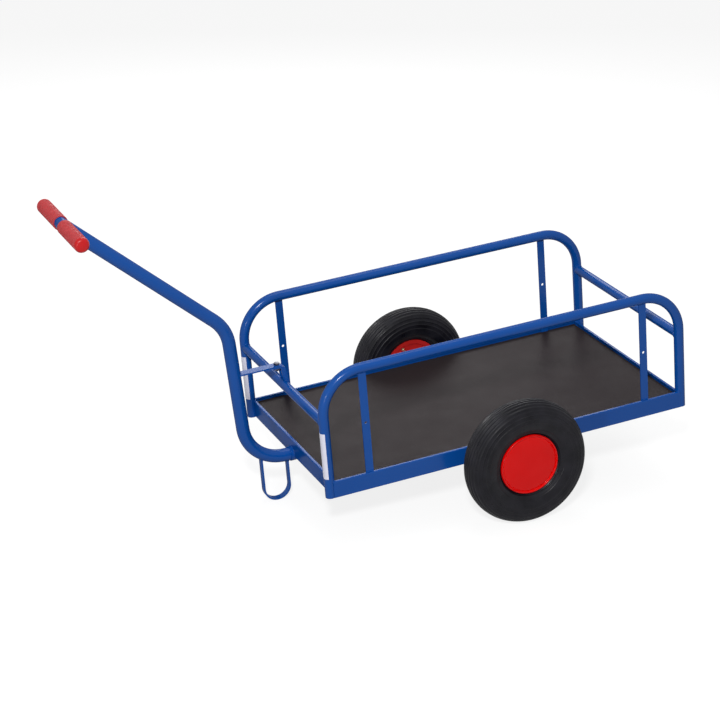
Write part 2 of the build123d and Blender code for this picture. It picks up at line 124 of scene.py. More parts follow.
def prism(bm, outline, low, high):
    """Extrude an outline of (x, y) points between two heights, closed at both ends."""
    bottom = [bm.verts.new((x, y, low)) for x, y in outline]
    top = [bm.verts.new((x, y, high)) for x, y in outline]
    grid(bm, [bottom, top])
    bm.faces.new(bottom)
    bm.faces.new(top)


def arc(start, end, step=radians(6)):
    """Evenly spaced angles from start to end, both included."""
    count = max(2, ceil(abs(end - start) / step))
    return [start + (end - start) * n / count for n in range(count + 1)]


def rounded(corners, reaches, steps=6):
    """A line of (x, y) corners whose inner corners are eased, each over its own reach to both sides."""
    points = [corners[0]]
    for before, corner, after, reach in zip(corners, corners[1:], corners[2:], reaches):
        corner = Vector(corner)
        runs = [Vector(before) - corner, Vector(after) - corner]
        start, end = (corner + run.normalized() * min(reach, run.length / 2) for run in runs)
        for n in range(steps + 1):
            share = n / steps
            points.append(tuple(start.lerp(corner, share).lerp(corner.lerp(end, share), share)))
    return points + [corners[-1]]


def resample(path, spacing, closed):
    """Points along a polyline at an even spacing."""
    corners = path + [path[0]] if closed else path
    lengths = [(b - a).length for a, b in zip(corners, corners[1:])]
    total = sum(lengths)
    count = max(3, round(total / spacing))
    points = []
    run, walked = 0, 0.0
    for n in range(count if closed else count + 1):
        target = total * n / count
        while run < len(lengths) - 1 and walked + lengths[run] < target:
            walked += lengths[run]
            run += 1
        share = (target - walked) / lengths[run] if lengths[run] else 0.0
        points.append(corners[run].lerp(corners[run + 1], min(share, 1.0)))
    return points


BEAD_SPACING = 0.9
BEAD_SIDES = 10
RIPPLE_PITCH = 3.6
RIPPLE_DEPTH = 0.16
TAPER_START = 0.35
TAPER_STEP = 0.33


def bead(bm, path, radius, closed=False):
    """A rippled weld bead along a path, with tapered ends where the path is open."""
    points = resample(path, BEAD_SPACING, closed)
    last = len(points) - 1
    turns = [2 * pi * n / BEAD_SIDES for n in range(BEAD_SIDES)]
    rows = []
    across = None
    for n, point in enumerate(points):
        before = points[n - 1] if closed or n else point
        after = points[(n + 1) % len(points)] if closed or n < last else point
        along = (after - before).normalized()
        across = across or along.orthogonal()
        across = (across - along * across.dot(along)).normalized()
        other = along.cross(across)
        size = radius * (1 - RIPPLE_DEPTH * abs(sin(pi * n * BEAD_SPACING / RIPPLE_PITCH)))
        if not closed:
            size *= min(1.0, TAPER_START + TAPER_STEP * min(n, last - n))
        rows.append([bm.verts.new(point + (across * cos(t) + other * sin(t)) * size) for t in turns])
    if not closed:
        rows = [[bm.verts.new(points[0])]] + rows + [[bm.verts.new(points[-1])]]
    grid(bm, rows, closed)


def finish_piece(bm, name, body, materials, stands_for=None):
    """Put a drawn mesh into the parked stance as one named piece that rides on a body."""
    bmesh.ops.recalc_face_normals(bm, faces=bm.faces)
    mesh = bpy.data.meshes.new(name)
    bm.to_mesh(mesh)
    bm.free()
    mesh.transform(stance)
    mesh.set_sharp_from_angle(angle=SHARP_ANGLE)
    for material in materials:
        mesh.materials.append(material)
    piece = bpy.data.objects.new(name, mesh)
    bpy.context.scene.collection.objects.link(piece)
    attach(piece, body)
    if stands_for:
        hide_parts(stands_for)


# Finishes

# Soft noise mostly lies between these two values
NOISE_LOW, NOISE_HIGH = 0.3, 0.7
# A surface turns from facing the viewer to grazing between these two values of Layer Weight
FACING_END, GRAZING_START = 0.25, 0.65
BEVEL_SAMPLES = 4


class Finish:
    """A Principled material put together from procedural textures in object coordinates, in metres."""

    def __init__(self, name, **sockets):
        self.material = bpy.data.materials.new(name)
        self.material.use_nodes = True
        self.tree = self.material.node_tree
        self.shader = self.tree.nodes["Principled BSDF"]
        for socket, value in sockets.items():
            self.shader.inputs[socket.replace("_", " ")].default_value = value
        self.place = self.node("ShaderNodeTexCoord").outputs["Object"]
        self.normal = None

    def node(self, kind, links=None, **settings):
        """Add a node, set its properties and inputs, and link what its inputs take from."""
        node = self.tree.nodes.new(kind)
        for key, value in settings.items():
            if hasattr(node, key):
                setattr(node, key, value)
            else:
                node.inputs[key.replace("_", " ")].default_value = value
        for key, source in (links or {}).items():
            self.tree.links.new(source, node.inputs[key])
        return node

    def shade(self, source, socket):
        """Link a source to a socket of the shader."""
        self.tree.links.new(source, self.shader.inputs[socket])

    def noise(self, size, detail=2.0):
        """Soft noise with features of about the given size."""
        links = {"Vector": self.place}
        return self.node("ShaderNodeTexNoise", links, Scale=1 / size, Detail=detail).outputs["Fac"]

    def mesh_print(self, pitch):
        """Crossed bands of one pitch along X and Y, as a woven wire leaves in a pressed film."""
        bands_at_scale_one = 0.314
        links = {"Vector": self.place}
        scale = bands_at_scale_one / pitch
        lengthwise = self.node("ShaderNodeTexWave", links, bands_direction="X", Scale=scale)
        crosswise = self.node("ShaderNodeTexWave", links, bands_direction="Y", Scale=scale)
        both = {0: lengthwise.outputs["Fac"], 1: crosswise.outputs["Fac"]}
        return self.node("ShaderNodeMath", both, operation="MAXIMUM").outputs["Value"]

    def colours(self, factor, first, second):
        """Base colour that goes from the first to the second as the factor rises."""
        ramp = self.node("ShaderNodeValToRGB", {"Fac": factor})
        stops = zip(ramp.color_ramp.elements, (NOISE_LOW, NOISE_HIGH), (first, second))
        for element, position, colour in stops:
            element.position = position
            element.color = (*colour, 1)
        self.shade(ramp.outputs["Color"], "Base Color")

    def ramp(self, factor, start, end, low, high):
        """A value that goes from low to high as the factor goes from start to end."""
        ends = {"From_Min": start, "From_Max": end, "To_Min": low, "To_Max": high}
        return self.node("ShaderNodeMapRange", {"Value": factor}, **ends).outputs["Result"]

    def roughness(self, factor, smooth, rough):
        """Roughness that goes from smooth to rough as the factor rises."""
        self.shade(self.ramp(factor, NOISE_LOW, NOISE_HIGH, smooth, rough), "Roughness")

    def gloss(self, facing, grazing):
        """Strength of reflections on surfaces that face the viewer and on those seen at a grazing angle."""
        weight = self.node("ShaderNodeLayerWeight", Blend=0.5).outputs["Facing"]
        strength = self.ramp(weight, FACING_END, GRAZING_START, facing, grazing)
        self.shade(strength, "Specular IOR Level")

    def soft_edges(self, radius):
        """Rounded look of sharp edges."""
        self.normal = self.node("ShaderNodeBevel", Radius=radius, samples=BEVEL_SAMPLES).outputs["Normal"]
        self.shade(self.normal, "Normal")

    def relief(self, factor, depth):
        """Relief of the given depth on top of what is already there."""
        bump = self.node("ShaderNodeBump", {"Height": factor}, Strength=1.0, Distance=depth)
        if self.normal:
            self.tree.links.new(self.normal, bump.inputs["Normal"])
        self.normal = bump.outputs["Normal"]
        self.shade(self.normal, "Normal")


def powder_coat(name, first, second):
    """Glossy powder coat: even colour with faint clouds, orange-peel relief and softened edges."""
    finish = Finish(name)
    finish.gloss(facing=0.2, grazing=0.012)
    finish.colours(finish.noise(size=160 * MM, detail=3), first, second)
    finish.roughness(finish.noise(size=50 * MM, detail=3), smooth=0.17, rough=0.21)
    finish.soft_edges(radius=0.4 * MM)
    finish.relief(finish.noise(size=7 * MM, detail=0), depth=0.004 * MM)
    return finish.material


def film_faced_wood(name):
    """Dark film-faced plywood with a fine wire-mesh print."""
    finish = Finish(name)
    finish.gloss(facing=0.06, grazing=0.014)
    clouds = finish.noise(size=110 * MM, detail=4)
    finish.colours(clouds, first=(0.0262, 0.02, 0.0213), second=(0.0292, 0.0225, 0.0239))
    finish.roughness(finish.noise(size=70 * MM, detail=3), smooth=0.43, rough=0.48)
    finish.relief(finish.mesh_print(pitch=4 * MM), depth=0.12 * MM)
    finish.relief(finish.noise(size=1.2 * MM, detail=3), depth=0.02 * MM)
    return finish.material


def rubber(name):
    """Black tyre rubber, a little grey where it has been handled."""
    finish = Finish(name)
    finish.gloss(facing=0.16, grazing=0.06)
    scuffs = finish.noise(size=45 * MM, detail=5)
    finish.colours(scuffs, first=(0.003, 0.0029, 0.005), second=(0.013, 0.0126, 0.0172))
    finish.roughness(finish.noise(size=30 * MM, detail=4), smooth=0.24, rough=0.46)
    finish.relief(finish.noise(size=0.9 * MM, detail=3), depth=0.04 * MM)
    return finish.material


def gloss_moulding(name, gloss, smooth, rough, first, second):
    """Glossy moulded plastic with the faint waves of its tool."""
    finish = Finish(name)
    finish.gloss(facing=gloss, grazing=0.16)
    finish.colours(finish.noise(size=90 * MM), first, second)
    finish.roughness(finish.noise(size=40 * MM, detail=3), smooth, rough)
    finish.relief(finish.noise(size=30 * MM, detail=1), depth=0.12 * MM)
    finish.relief(finish.noise(size=0.8 * MM), depth=0.008 * MM)
    return finish.material


def vinyl(name):
    """Soft ribbed vinyl with a dull bloom."""
    finish = Finish(name)
    finish.gloss(facing=0.2, grazing=0.16)
    bloom = finish.noise(size=20 * MM, detail=4)
    finish.colours(bloom, first=(0.42, 0.04, 0.045), second=(0.5, 0.052, 0.057))
    finish.roughness(finish.noise(size=12 * MM, detail=3), smooth=0.48, rough=0.6)
    finish.relief(finish.noise(size=5 * MM, detail=0), depth=0.01 * MM)
    return finish.material


def plated_steel(name, first, second):
    """Plated or bare metal with the faint stains of its bath."""
    finish = Finish(name, Metallic=1.0)
    finish.colours(finish.noise(size=6 * MM, detail=4), first, second)
    finish.roughness(finish.noise(size=4 * MM, detail=3), smooth=0.28, rough=0.45)
    finish.relief(finish.noise(size=0.5 * MM), depth=0.01 * MM)
    return finish.material


def reflective_film(name):
    """Pale reflective film with a fine cell structure."""
    finish = Finish(name, Specular_IOR_Level=0.4)
    clouds = finish.noise(size=30 * MM, detail=3)
    finish.colours(clouds, first=(0.74, 0.74, 0.86), second=(0.8, 0.8, 0.92))
    finish.roughness(finish.noise(size=10 * MM), smooth=0.3, rough=0.42)
    cells = finish.node("ShaderNodeTexVoronoi", {"Vector": finish.place}, Scale=1 / (2.5 * MM))
    finish.relief(cells.outputs["Distance"], depth=0.03 * MM)
    return finish.material


finishes = {
    "frame_paint": powder_coat("blue_powder_coat", (0.002, 0.066, 0.315), (0.004, 0.073, 0.335)),
    "panel_wood": film_faced_wood("film_faced_plywood"),
    "tyre_rubber": rubber("tyre_rubber"),
    # The rim red is darker than the cover red as painted shade: it stands in for the shade the cart casts on the
    # far rim.
    "wheel_red": powder_coat("red_rim_paint_with_painted_shade", (0.5, 0.017, 0.015), (0.56, 0.02, 0.018)),
    "cover_red": gloss_moulding(
        "red_cover_moulding",
        gloss=0.15,
        smooth=0.13,
        rough=0.19,
        first=(0.71, 0.001, 0.001),
        second=(0.76, 0.002, 0.002),
    ),
    "hub_steel": plated_steel("zinc_plated_steel", (0.5, 0.5, 0.49), (0.62, 0.61, 0.58)),
    "bolt_steel": plated_steel("dark_plated_steel", (0.09, 0.09, 0.11), (0.13, 0.13, 0.15)),
    "grip_red": vinyl("ribbed_vinyl"),
}
grip_end_finish = gloss_moulding(
    "grip_end_vinyl",
    gloss=0.26,
    smooth=0.3,
    rough=0.36,
    first=(0.46, 0.007, 0.009),
    second=(0.51, 0.009, 0.011),
)
strip_finish = reflective_film("pale_reflective_film")
brass_finish = plated_steel("valve_brass", (0.8, 0.7, 0.5), (0.88, 0.78, 0.58))

for subpart in frame["record"]["subparts"]:
    node_mesh = frame["nodes"][subpart["node"]].data
    node_mesh.materials.clear()
    node_mesh.materials.append(finishes[subpart["material_slot"]])

# Tyres: ribbed tread, ridged shoulders and flanks

TREAD_HALF_WIDTH = 42.0
TREAD_SHOULDER_DROP = 13.0
TREAD_STEP = 0.75
RIB_PITCH = 12.0
RIB_DEPTH = 4.0
# Shares of half a rib's pitch that the floor and the wall of a groove take
GROOVE_FLOOR, GROOVE_WALL = 0.15, 0.55
FLANK_INSET = 1.2
FLANK_STEP = 0.8
BEAD_SEAT_TOP = (96.5, 28.0)
BEAD_SEAT_FOOT = (90.5, 24.0)
TYRE_SEGMENTS = 180
# Ridges on the flank as (radius, height, half width)
FLANK_RIDGES = (
    (180.5, 1.2, 2.6),
    (169.0, 2.0, 2.4),
    (157.5, 1.1, 2.2),
    (144.0, 0.9, 2.0),
    (118.0, 0.7, 1.6),
    (106.0, 1.4, 2.4),
)


def smooth_step(value):
    """Ease from 0 to 1 as the value goes from 0 to 1."""
    value = max(0.0, min(1.0, value))
    return value * value * (3 - 2 * value)


def circle_through(a, b, c):
    """Centre and radius of the circle through three points in a plane."""
    ax, ay = a
    bx, by = b[0] - ax, b[1] - ay
    cx, cy = c[0] - ax, c[1] - ay
    twice_area = 2 * (bx * cy - by * cx)
    b_square, c_square = bx * bx + by * by, cx * cx + cy * cy
    ux = (cy * b_square - by * c_square) / twice_area
    uy = (bx * c_square - cx * b_square) / twice_area
    return (ax + ux, ay + uy), hypot(ux, uy)


def tread_half(radius):
    """Half of the tread from its middle to the shoulder, as (radius, offset) points."""
    crown = (TREAD_HALF_WIDTH**2 + TREAD_SHOULDER_DROP**2) / (2 * TREAD_SHOULDER_DROP)
    steps = round(TREAD_HALF_WIDTH / TREAD_STEP)
    points = []
    for n in range(steps + 1):
        offset = TREAD_HALF_WIDTH * n / steps
        crest = abs((offset / RIB_PITCH) % 1 - 0.5) * 2
        rise = smooth_step((crest - GROOVE_FLOOR) / GROOVE_WALL)
        crowned = radius - crown + sqrt(crown**2 - offset**2)
        points.append((crowned - RIB_DEPTH * (1 - rise), offset))
    return points


def flank(radius, half_width):
    """The flank from the shoulder down to the bead, with its ridges, as (radius, offset) points."""
    shoulder = (radius - TREAD_SHOULDER_DROP, TREAD_HALF_WIDTH)
    waist = ((radius + BEAD_SEAT_TOP[0]) / 2, half_width - FLANK_INSET)
    centre, bend = circle_through(shoulder, waist, BEAD_SEAT_TOP)
    start = atan2(shoulder[1] - centre[1], shoulder[0] - centre[0])
    end = atan2(BEAD_SEAT_TOP[1] - centre[1], BEAD_SEAT_TOP[0] - centre[0])
    points = []
    for turn in arc(start, end, FLANK_STEP / bend):
        at_radius = centre[0] + bend * cos(turn)
        proud = sum(
            height * smooth_step(1 - abs(at_radius - ridge) / half) for ridge, height, half in FLANK_RIDGES
        )
        points.append((centre[0] + (bend + proud) * cos(turn), centre[1] + (bend + proud) * sin(turn)))
    return points


def build_tyres():
    """Both tyres, turned about the axle."""
    for side, _ in SIDES:
        middle, half = level_middle(f"tyre_{side}")
        outer = tread_half(half.z)[:-1] + flank(half.z, half.y) + [BEAD_SEAT_FOOT]
        profile = [(radius, -offset) for radius, offset in reversed(outer[1:])] + outer
        bm = bmesh.new()
        lathe(bm, profile, outward(middle), TYRE_SEGMENTS, closed=True)
        finish_piece(
            bm,
            f"tyre_ribbed_{side}",
            f"wheel_{side}",
            [finishes["tyre_rubber"]],
            f"tyre_{side}",
        )


# Wheel covers: a rounded lip, a groove and a shallow dome

COVER_SHEET = 2.0
COVER_LIP_WIDTH = 8.0
COVER_LIP_SLOPE = 2.0
COVER_GROOVE_WIDTH = 4.0
COVER_FACE_EDGE = 4.0
COVER_FACE_MIDDLE = 6.0
COVER_EDGE_EASE = 0.9
COVER_LIP_EASE = 2.0
COVER_SEGMENTS = 144
DOME_STEPS = 24


def cover_profile(radius, crest):
    """Section of a wheel cover from its back to the middle of its face, as (radius, height) points."""
    lip_inner = radius - COVER_LIP_WIDTH
    face_edge = lip_inner - COVER_GROOVE_WIDTH
    dome = []
    for n in range(DOME_STEPS + 1):
        share = n / DOME_STEPS
        rise = (COVER_FACE_MIDDLE - COVER_FACE_EDGE) * (1 - (1 - share) ** 2)
        dome.append((face_edge * (1 - share), COVER_FACE_EDGE + rise))
    lip = rounded(
        [
            (0, 0),
            (radius, 0),
            (radius, COVER_SHEET),
            (radius - COVER_LIP_SLOPE, crest),
            (lip_inner + COVER_LIP_SLOPE, crest),
            (lip_inner, COVER_SHEET),
            dome[0],
            dome[1],
        ],
        [COVER_EDGE_EASE] * 2 + [COVER_LIP_EASE] * 2 + [COVER_EDGE_EASE] * 2,
    )
    return lip + dome[2:]


def build_covers():
    """Both wheel covers, turned about the axle."""
    for side, sign in SIDES:
        middle, half = level_middle(f"wheel_cover_{side}")
        seat = middle - Vector((0, sign * half.y, 0))
        bm = bmesh.new()
        lathe(bm, cover_profile(half.z, 2 * half.y), outward(seat, sign), COVER_SEGMENTS)
        finish_piece(
            bm,
            f"cover_moulded_{side}",
            f"wheel_{side}",
            [finishes["cover_red"]],
            f"wheel_cover_{side}",
        )


# Tyre valves on the inboard face of the rims

RIM_DISH = 6.0
VALVE_RADIUS = 73.0
VALVE_LEAN = radians(8)
VALVE_CLOCK = {"left": radians(200), "right": radians(68)}
VALVE_SEGMENTS = 24
# Valve sections as (radius, distance along the stem)
VALVE_BASE = ((0, -1), (6.5, -1), (6.2, 1), (4.6, 3), (4.2, 5), (0, 5))
VALVE_STEM = ((0, 4.5), (2.6, 4.5), (2.6, 9), (0, 9))
VALVE_CAP = ((0, 8.5), (3.6, 8.5), (3.9, 9.5), (3.9, 15), (3.3, 16.5), (0, 16.5))


def build_valves():
    """A brass valve with a foot, a stem and a cap on each rim."""
    for side, sign in SIDES:
        middle, half = level_middle(f"rim_{side}")
        turn = VALVE_CLOCK[side]
        out = Vector((cos(turn), 0, sin(turn)))
        inboard = Vector((0, -sign, 0))
        seat = middle + out * VALVE_RADIUS + inboard * (half.y - RIM_DISH)
        along = inboard * cos(VALVE_LEAN) - out * sin(VALVE_LEAN)
        place = Matrix.Translation(seat) @ along.to_track_quat("Z", "Y").to_matrix().to_4x4()
        bm = bmesh.new()
        for section in (VALVE_BASE, VALVE_STEM, VALVE_CAP):
            lathe(bm, section, place, VALVE_SEGMENTS)
        finish_piece(bm, f"valve_{side}", f"wheel_{side}", [brass_finish])


# Grips: ribbed vinyl sleeves with a smooth rounded end

GRIP_RIB_PITCH = 3.2
GRIP_RIB_DEPTH = 0.7
GRIP_COLLAR = 5.0
GRIP_END_LENGTH = 14.0
GRIP_END_DOME = 1.5
GRIP_SEAM_WIDTH = 0.8
GRIP_SEAM_DEPTH = 1.1
GRIP_EDGE = 1.0
GRIP_BORE_GAP = 0.2
GRIP_SEGMENTS = 72
GRIP_DOME_STEPS = 4
# Rib section as (share of the pitch, share of the depth)
GRIP_RIB = ((0.25, 1), (0.4, 1), (0.65, 0), (1.0, 0))


def grip_profile(radius, bore, length):
    """Section of a grip as (radius, distance from its inner end) points, and the row of its smooth end."""
    seam = length - GRIP_END_LENGTH
    points = [(bore, 0.0), (radius - GRIP_EDGE, 0.0), (radius, GRIP_EDGE), (radius, GRIP_COLLAR)]
    for n in range(int((seam - GRIP_COLLAR) / GRIP_RIB_PITCH)):
        start = GRIP_COLLAR + n * GRIP_RIB_PITCH
        points += [(radius - GRIP_RIB_DEPTH * down, start + GRIP_RIB_PITCH * on) for on, down in GRIP_RIB]
    seam_radius = radius - GRIP_SEAM_DEPTH
    points += [(seam_radius, seam - GRIP_SEAM_WIDTH), (seam_radius, seam)]
    end_row = len(points) - 1
    end_start = seam + GRIP_EDGE
    bend = GRIP_END_LENGTH - GRIP_END_DOME - GRIP_EDGE
    for turn in arc(0, pi / 2):
        points.append((radius - bend + bend * cos(turn), end_start + bend * sin(turn)))
    for n in range(1, GRIP_DOME_STEPS + 1):
        share = 1 - n / GRIP_DOME_STEPS
        points.append(((radius - bend) * share, length - GRIP_END_DOME * share**2))
    return points, end_row


def build_grips():
    """Both grips, turned about the handle tube."""
    bore = level_middle("handle_tube")[1].z + GRIP_BORE_GAP
    for side, sign in SIDES:
        middle, half = level_middle(f"grip_{side}")
        profile, end_row = grip_profile(half.z, bore, 2 * half.y)
        place = outward(middle - Vector((0, sign * half.y, 0)), sign)
        bm = bmesh.new()
        lathe(bm, profile, place, GRIP_SEGMENTS, finish_of_row=lambda row: int(row >= end_row))
        finish_piece(
            bm,
            f"grip_ribbed_{side}",
            "chassis",
            [finishes["grip_red"], grip_end_finish],
            f"grip_{side}",
        )


# Strut bolt with chamfered head and nut and a threaded end

BOLT_RADIUS = 5.0
BOLT_HEAD_HEIGHT = 6.5
BOLT_NUT_HEIGHT = 8.0
BOLT_END = 4.0
BOLT_SEGMENTS = 36
THREAD_PITCH = 1.5
THREAD_DEPTH = 0.8
HEX_SEGMENTS = 72
HEX_CHAMFER_START = 0.95
HEX_CHAMFER = radians(30)


def hexagon(bm, place, across_flats, height):
    """A hexagonal head or nut standing on the local XY plane, chamfered at its free end."""
    flat = across_flats / 2
    crown = HEX_CHAMFER_START * flat
    foot, edge = [], []
    for n in range(HEX_SEGMENTS):
        turn = 2 * pi * n / HEX_SEGMENTS
        radius = flat / cos((turn + pi / 6) % (pi / 3) - pi / 6)
        drop = (radius - crown) * tan(HEX_CHAMFER)
        for row, z in ((foot, 0), (edge, height - drop)):
            row.append(bm.verts.new(place @ Vector((radius * cos(turn), radius * sin(turn), z))))
    turned = ((0, 0), (crown, height), (0, height))
    seat, rim, tip = (ring(bm, place, radius, z, HEX_SEGMENTS) for radius, z in turned)
    grid(bm, [seat, foot, edge, rim, tip])


def build_strut_bolt():
    """Head on the strut, nut under the bracket and the thread below it."""
    low, high = level_box("strut_bolt")
    strut_top = level_box("strut")[1].z
    axis = Vector(((low.x + high.x) / 2, 0, 0))
    nut_top = low.z + BOLT_END + BOLT_NUT_HEIGHT
    corner_fore = Matrix.Rotation(pi / 6, 4, "Z")
    upside_down = Matrix.Rotation(pi, 4, "X")
    head_seat = Matrix.Translation(axis + Vector((0, 0, strut_top))) @ corner_fore
    nut_seat = Matrix.Translation(axis + Vector((0, 0, nut_top))) @ upside_down @ corner_fore
    bm = bmesh.new()
    hexagon(bm, head_seat, high.y - low.y, BOLT_HEAD_HEIGHT)
    hexagon(bm, nut_seat, high.y - low.y, BOLT_NUT_HEIGHT)
    root = BOLT_RADIUS - THREAD_DEPTH
    shank = [(0, 0), (root, 0)]
    for n in range(int((nut_top - low.z) / THREAD_PITCH)):
        shank += [(BOLT_RADIUS, (n + 0.5) * THREAD_PITCH), (root, (n + 1) * THREAD_PITCH)]
    shank += [(BOLT_RADIUS, nut_top - low.z), (BOLT_RADIUS, strut_top - low.z), (0, strut_top - low.z)]
    lathe(bm, shank, Matrix.Translation(axis + Vector((0, 0, low.z))), BOLT_SEGMENTS)
    finish_piece(bm, "strut_bolt_set", "chassis", [finishes["bolt_steel"]], "strut_bolt")


# Pale strips wrapped round the front of the front posts

STRIP_WIDTH = 38.0
STRIP_LENGTH = 151.0
STRIP_BOTTOM = 62.0
STRIP_THICKNESS = 0.5
STRIP_GLUE = 0.02


def post(side):
    """Axis of a side rail's front post as (x, y), and the radius of its tube."""
    middle, half = level_middle(f"side_rail_{side}")
    return middle.x + half.x - half.y, middle.y, half.y


def build_strips():
    """A strip on each front post, open to the rear."""
    for side, _ in SIDES:
        x, y, radius = post(side)
        half_angle = STRIP_WIDTH / 2 / radius
        turns = arc(-half_angle, half_angle)
        inner, outer = radius + STRIP_GLUE, radius + STRIP_THICKNESS
        outline = [(x + outer * cos(t), y + outer * sin(t)) for t in turns]
        outline += [(x + inner * cos(t), y + inner * sin(t)) for t in reversed(turns)]
        bm = bmesh.new()
        prism(bm, outline, STRIP_BOTTOM, STRIP_BOTTOM + STRIP_LENGTH)
        finish_piece(bm, f"post_strip_{side}", "chassis", [strip_finish])


# Painted weld beads at the joints of the frame

TUBE_BEAD = 2.4
BAR_BEAD = 2.2
POST_BEAD = 2.8
BEAD_RISE = 0.4
MEMBER_LIP_WIDTH = 9.0
DRAWBAR_BEND = 130.0
DRAWBAR_KNEE_START = 626.2
FOOT_BAR_THICKNESS = 6.0
FOOT_LOOP_STEPS = 8
BRACKET_BEAD_SPAN = (radians(178), radians(98))


def cross_rail_beads(bm):
    """Saddle beads round the ends of both cross rails."""
    for side, sign in SIDES:
        _, post_y, post_radius = post(side)
        for end, _ in ENDS:
            rail, half = level_middle(f"{end}_cross_rail")
            path = []
            for turn in arc(0, 2 * pi)[:-1]:
                across = half.z * cos(turn)
                reach = sqrt(post_radius**2 - across**2)
                path.append(Vector((rail.x + across, post_y - sign * reach, rail.z + half.z * sin(turn))))
            bead(bm, path, TUBE_BEAD, closed=True)


def stay_beads(bm):
    """Beads where each stay meets the rail above, on both faces, and the lip of the side member below."""
    for side, sign in SIDES:
        _, rail_y, radius = post(side)
        rail_z = level_box(f"side_rail_{side}")[1].z - radius
        lip_z = level_box(f"{side}_member")[1].z + BEAD_RISE
        for end, _ in ENDS:
            low, high = level_box(f"stay_{side}_{end}")
            for y in (low.y, high.y):
                z = rail_z - sqrt(radius**2 - (y - rail_y) ** 2)
                bead(bm, [Vector((low.x, y, z)), Vector((high.x, y, z))], BAR_BEAD)
            outer = high.y if sign > 0 else low.y
            bead(bm, [Vector((low.x, outer, lip_z)), Vector((high.x, outer, lip_z))], TUBE_BEAD)


def post_beads(bm):
    """Beads round the inner side of each post, where the lips of the bed frame meet it."""
    for side, sign in SIDES:
        x, y, radius = post(side)
        top = level_box(f"{side}_member")[1].z + BEAD_RISE
        lip_edge = abs(y) + radius - MEMBER_LIP_WIDTH
        for end, fore in ENDS:
            middle, half = level_middle(f"{end}_member")
            frame_end = abs(middle.x) + half.x
            outer = asin((x - frame_end) / radius) - pi / 2
            for start, stop in ((outer, 0.0), (asin((lip_edge - abs(y)) / radius), -outer)):
                path = [
                    Vector((fore * (x - radius * cos(t)), y + sign * radius * sin(t), top))
                    for t in arc(start, stop)
                ]
                bead(bm, path, POST_BEAD)


def strut_beads(bm):
    """A bead round the strut's front end on the riser, and beads at the foot of its bracket."""
    low, high = level_box("strut")
    radius = level_middle("drawbar")[1].y
    riser_x = high.x + sqrt(radius**2 - high.y**2)
    spread = asin(high.y / radius)
    loop = []
    for z, start, stop in ((high.z, -spread, spread), (low.z, spread, -spread)):
        loop += [Vector((riser_x - radius * cos(t), radius * sin(t), z)) for t in arc(start, stop)]
    bead(bm, loop, BAR_BEAD, closed=True)

    rail, half = level_middle("front_cross_rail")
    for bracket_side in level_box("strut_bracket"):
        path = [
            Vector((rail.x + half.z * cos(t), bracket_side.y, rail.z + half.z * sin(t)))
            for t in arc(*BRACKET_BEAD_SPAN)
        ]
        bead(bm, path, BAR_BEAD)


def drawbar_underside(x, y, radius):
    """Height of the drawbar's lower side, along its lower run and round the knee."""
    run = max(x - DRAWBAR_KNEE_START, 0.0)
    return DRAWBAR_BEND - sqrt((DRAWBAR_BEND + sqrt(radius**2 - y**2)) ** 2 - run**2)


def foot_beads(bm):
    """Beads round both legs of the foot loop, on the underside of the drawbar."""
    low, high = level_box("foot_loop")
    radius = level_middle("drawbar")[1].y
    for x0, x1 in ((low.x, low.x + FOOT_BAR_THICKNESS), (high.x - FOOT_BAR_THICKNESS, high.x)):
        corners = ((x0, low.y), (x0, high.y), (x1, high.y), (x1, low.y))
        loop = []
        for (ax, ay), (bx, by) in zip(corners, corners[1:] + corners[:1]):
            for n in range(FOOT_LOOP_STEPS):
                share = n / FOOT_LOOP_STEPS
                x, y = ax + (bx - ax) * share, ay + (by - ay) * share
                loop.append(Vector((x, y, drawbar_underside(x, y, radius))))
        bead(bm, loop, BAR_BEAD, closed=True)


def tube_ring_beads(bm):
    """Beads over the socket on the front member and over the axle tube on both side members."""
    low, high = level_box("front_member")
    radius = level_middle("socket_tube")[1].y
    start = asin(low.z / radius)
    path = [Vector((high.x, radius * cos(t), radius * sin(t))) for t in arc(start, pi - start)]
    bead(bm, path, TUBE_BEAD)
    radius = level_middle("axle_tube")[1].z
    for side, sign in SIDES:
        low, high = level_box(f"{side}_member")
        face = high.y if sign > 0 else low.y
        start = asin(low.z / radius)
        path = [Vector((radius * cos(t), face, radius * sin(t))) for t in arc(start, pi - start)]
        bead(bm, path, TUBE_BEAD)


def build_welds():
    """All weld beads as one piece."""
    bm = bmesh.new()
    cross_rail_beads(bm)
    stay_beads(bm)
    post_beads(bm)
    strut_beads(bm)
    foot_beads(bm)
    tube_ring_beads(bm)
    finish_piece(bm, "weld_beads", "chassis", [finishes["frame_paint"]])


build_tyres()
build_covers()
build_valves()
build_grips()
build_strut_bolt()
build_strips()
build_welds()

# Stage: pale floor, white surround, soft studio light

FLOOR_SIZE = 60.0
FLOOR_COLOUR = 0.25
FLOOR_GLOW = 0.84
SURROUND_LIGHT = 0.27
# Softboxes as (name, place, width, height, power), in metres and watts
SOFTBOXES = (
    ("overhead_softbox", (-0.4, -0.6, 4.4), 2.4, 2.4, 40.0),
    ("key_softbox", (2.55, 5.1, 4.3), 0.7, 0.7, 285.0),
    ("low_softbox", (3.8, 3.8, 0.8), 0.4, 0.6, 35.0),
    ("rear_softbox", (-1.7, -4.5, 2.9), 2.8, 1.6, 85.0),
)
LIGHT_AIM = Vector((0.0, 0.0, 0.4))
CAMERA_PLACE = Vector((2.5540, 5.9794, 3.0145))
CAMERA_AIM = Vector((0.0109, -0.0063, 0.4266))
CAMERA_LENS = 110.69
SENSOR_WIDTH = 36.0


def seen_directly(nodes, links):
    """1 for camera, glossy and transmission rays, 0 for the rays that light the object."""
    path = nodes.new("ShaderNodeLightPath")
    seen = path.outputs["Is Camera Ray"]
    for kind in ("Is Glossy Ray", "Is Transmission Ray"):
        either = nodes.new("ShaderNodeMath")
        either.operation = "MAXIMUM"
        links.new(seen, either.inputs[0])
        links.new(path.outputs[kind], either.inputs[1])
        seen = either.outputs["Value"]
    return seen


